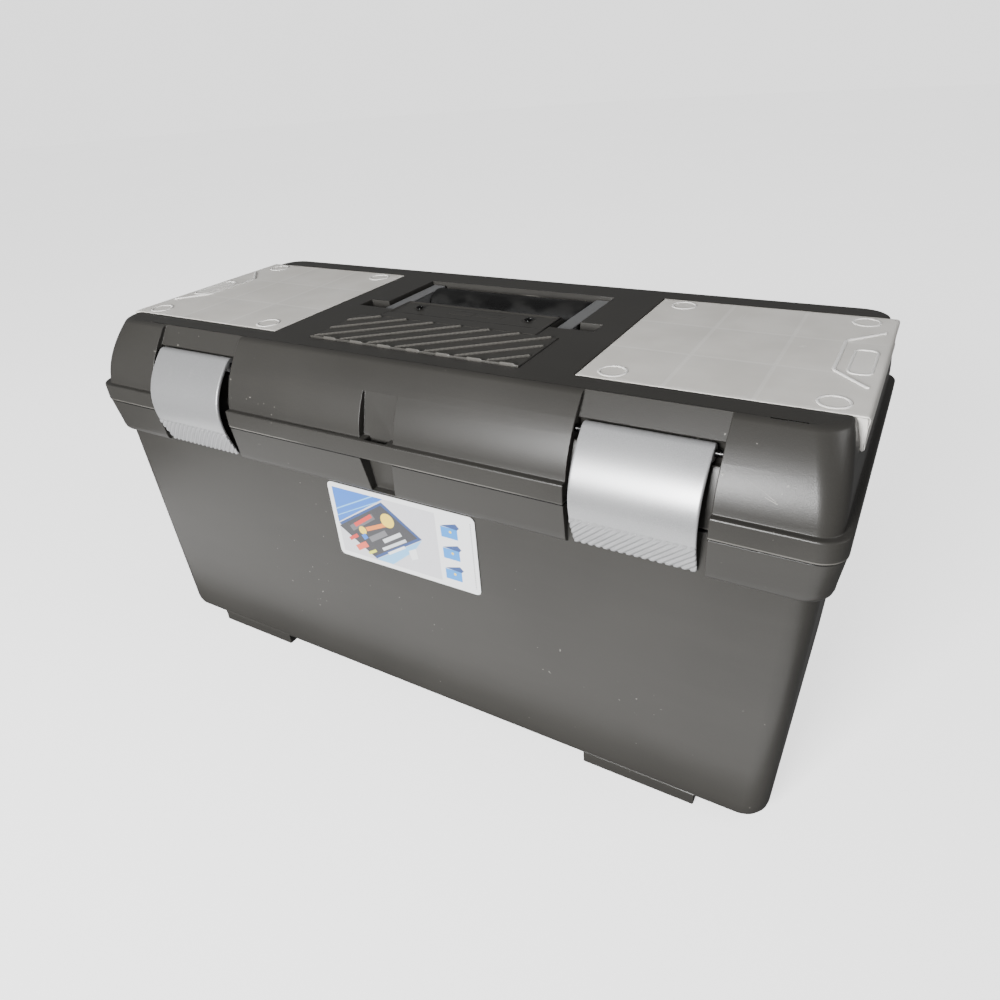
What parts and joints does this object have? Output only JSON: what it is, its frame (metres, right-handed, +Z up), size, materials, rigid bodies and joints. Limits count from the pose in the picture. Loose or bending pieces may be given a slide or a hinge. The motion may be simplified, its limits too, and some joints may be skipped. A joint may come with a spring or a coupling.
{
  "type": "toolbox with tray",
  "caption": "Moulded plastic toolbox with a hinged crowned lid, swing-down latches, a folding carry handle, lift-out lid organisers and a lift-out tote tray.",
  "frame": {"origin": "centre of the overall footprint, on the plane the feet stand on", "axes": "+X along the box towards its right end, -Y towards the latches at the front, +Z up"},
  "size_m": [0.6, 0.2624, 0.2996],
  "materials": {
    "graphite": "fine-grained dark graphite grey moulded polypropylene",
    "plate_grey": "slightly smoother graphite grey moulding",
    "arm_grey": "mid grey moulding with a metallic pigment",
    "latch_silver": "light silver moulding with a metallic pigment",
    "grip_black": "black satin to gloss sleeve",
    "clear_cover": "milky translucent polypropylene",
    "natural_box": "natural translucent polypropylene",
    "tray_grey": "dark grey moulded polypropylene",
    "steel_pin": "plain zinc-plated steel",
    "label_card": "printed card, semi-gloss"
  },
  "bodies": {
    "body": {"body_shell": "graphite", "front_label": "label_card", "hinge_pin_left": "steel_pin", "hinge_pin_right": "steel_pin"},
    "lid": {"lid_shell": "graphite", "grip_plate": "plate_grey", "plate_screw_left": "steel_pin", "plate_screw_right": "steel_pin", "latch_pin_left": "steel_pin", "latch_pin_right": "steel_pin"},
    "latch_left": {"latch_left": "latch_silver"},
    "latch_right": {"latch_right": "latch_silver"},
    "handle": {"handle_frame": "arm_grey", "handle_grip": "grip_black", "handle_pin_left": "arm_grey", "handle_pin_right": "arm_grey"},
    "organiser_left": {"organiser_box_left": "natural_box"},
    "organiser_right": {"organiser_box_right": "natural_box"},
    "cover_left": {"organiser_cover_left": "clear_cover"},
    "cover_right": {"organiser_cover_right": "clear_cover"},
    "tray": {"tray": "tray_grey"}
  },
  "joints": [
    {"name": "lid_hinge", "type": "hinge", "parent": "body", "child": "lid", "pos_m": [0, 0.1274, 0.2344], "axis": [-1, 0, 0], "range_deg": [0, 105]},
    {"name": "latch_left_swing", "type": "hinge", "parent": "lid", "child": "latch_left", "pos_m": [-0.186, -0.1065, 0.2775], "axis": [-1, 0, 0], "range_deg": [0, 80]},
    {"name": "latch_right_swing", "type": "hinge", "parent": "lid", "child": "latch_right", "pos_m": [0.186, -0.1065, 0.2775], "axis": [-1, 0, 0], "range_deg": [0, 80]},
    {"name": "handle_fold", "type": "hinge", "parent": "lid", "child": "handle", "pos_m": [0, 0.013, 0.2885], "axis": [1, 0, 0], "range_deg": [0, 90]},
    {"name": "organiser_left_lift", "type": "slide", "parent": "lid", "child": "organiser_left", "axis": [0, 0, 1], "range_m": [0, 0.06]},
    {"name": "organiser_right_lift", "type": "slide", "parent": "lid", "child": "organiser_right", "axis": [0, 0, 1], "range_m": [0, 0.06]},
    {"name": "cover_left_open", "type": "hinge", "parent": "organiser_left", "child": "cover_left", "pos_m": [-0.1283, 0.0114, 0.2957], "axis": [0, 1, 0], "range_deg": [0, 100]},
    {"name": "cover_right_open", "type": "hinge", "parent": "organiser_right", "child": "cover_right", "pos_m": [0.1283, 0.0114, 0.2957], "axis": [0, -1, 0], "range_deg": [0, 100]},
    {"name": "tray_lift", "type": "slide", "parent": "body", "child": "tray", "axis": [0, 0, 1], "range_m": [0, 0.034]}
  ]
}
